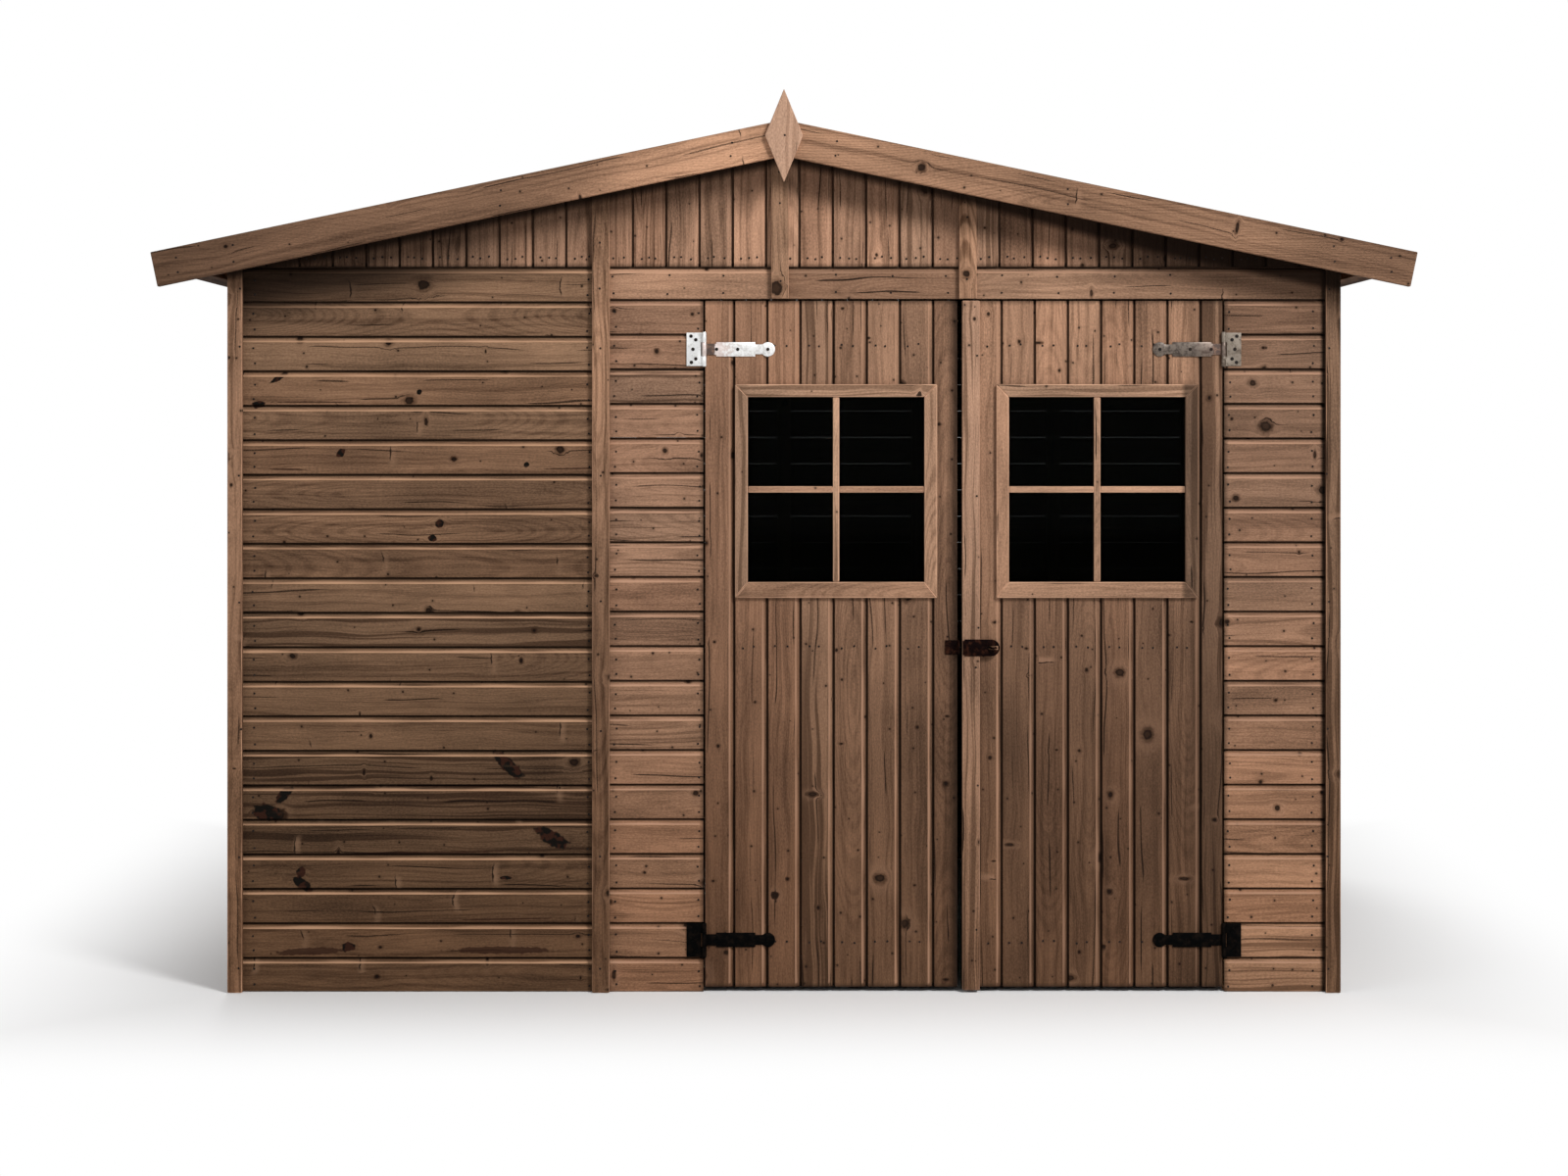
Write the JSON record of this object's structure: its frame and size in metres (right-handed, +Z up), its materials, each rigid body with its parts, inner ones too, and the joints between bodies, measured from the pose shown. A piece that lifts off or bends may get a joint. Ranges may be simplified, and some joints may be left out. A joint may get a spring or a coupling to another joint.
{
  "type": "wooden garden shed",
  "caption": "Boarded timber garden shed with a low pitched felt roof, bargeboards and finials, and a pair of ledged doors with windows on strap hinges.",
  "frame": {"origin": "middle of the base, on the ground", "axes": "+Z up, +X to the right and -Y out of the doors, seen from outside the doors"},
  "size_m": [3.132, 2.33, 2.2545],
  "materials": {
    "stained_wood": "weathered brown stain",
    "door_wood": "weathered brown stain",
    "trim_wood": "weathered brown stain",
    "frame_wood": "planed, dip stained",
    "roof_board_wood": "planed, dip stained",
    "roofing_felt": "mineral grit",
    "galvanised_steel": "zinc plated, dulled",
    "black_iron": "black lacquer",
    "rusty_steel": "rusted brown",
    "window_glass": "clear pane in front of a dark interior"
  },
  "bodies": {
    "root": {"front_left_panel": "stained_wood", "boards_left_of_door": "stained_wood", "boards_right_of_door": "stained_wood", "header_boards": "stained_wood", "front_gable_boards": "stained_wood", "front_cover_strips": "trim_wood", "corner_boards": "trim_wood", "left_wall_boards": "stained_wood", "right_wall_boards": "stained_wood", "back_wall_boards": "stained_wood", "side_cover_strips": "trim_wood", "back_cover_strips": "trim_wood", "front_studs": "frame_wood", "side_studs": "frame_wood", "back_studs": "frame_wood", "wall_rails": "frame_wood", "ridge_beam": "frame_wood", "purlins": "frame_wood", "left_roof_boards": "roof_board_wood", "right_roof_boards": "roof_board_wood", "left_felt": "roofing_felt", "right_felt": "roofing_felt", "eaves_battens": "trim_wood", "front_left_bargeboard": "trim_wood", "front_right_bargeboard": "trim_wood", "rear_bargeboards": "trim_wood", "front_finial": "trim_wood", "rear_finial": "trim_wood", "top_hinge_plates": "galvanised_steel", "bottom_hinge_plates": "black_iron"},
    "left_door": {"left_door_boards": "door_wood", "left_door_ledges": "frame_wood", "left_window_frame": "trim_wood", "left_window_glass": "window_glass", "left_top_strap": "galvanised_steel", "left_bottom_strap": "black_iron", "hasp_plate": "rusty_steel"},
    "right_door": {"right_door_boards": "door_wood", "right_meeting_strip": "trim_wood", "right_door_ledges": "frame_wood", "right_window_frame": "trim_wood", "right_window_glass": "window_glass", "right_top_strap": "galvanised_steel", "right_bottom_strap": "black_iron", "hasp_flap": "rusty_steel"}
  },
  "joints": [
    {"name": "left_door_hinge", "type": "hinge", "parent": "root", "child": "left_door", "pos_m": [-0.2005, -1.037, 0.875], "axis": [0, 0, -1], "range_deg": [0, 170]},
    {"name": "right_door_hinge", "type": "hinge", "parent": "root", "child": "right_door", "pos_m": [1.1055, -1.037, 0.875], "axis": [0, 0, 1], "range_deg": [0, 170]}
  ]
}
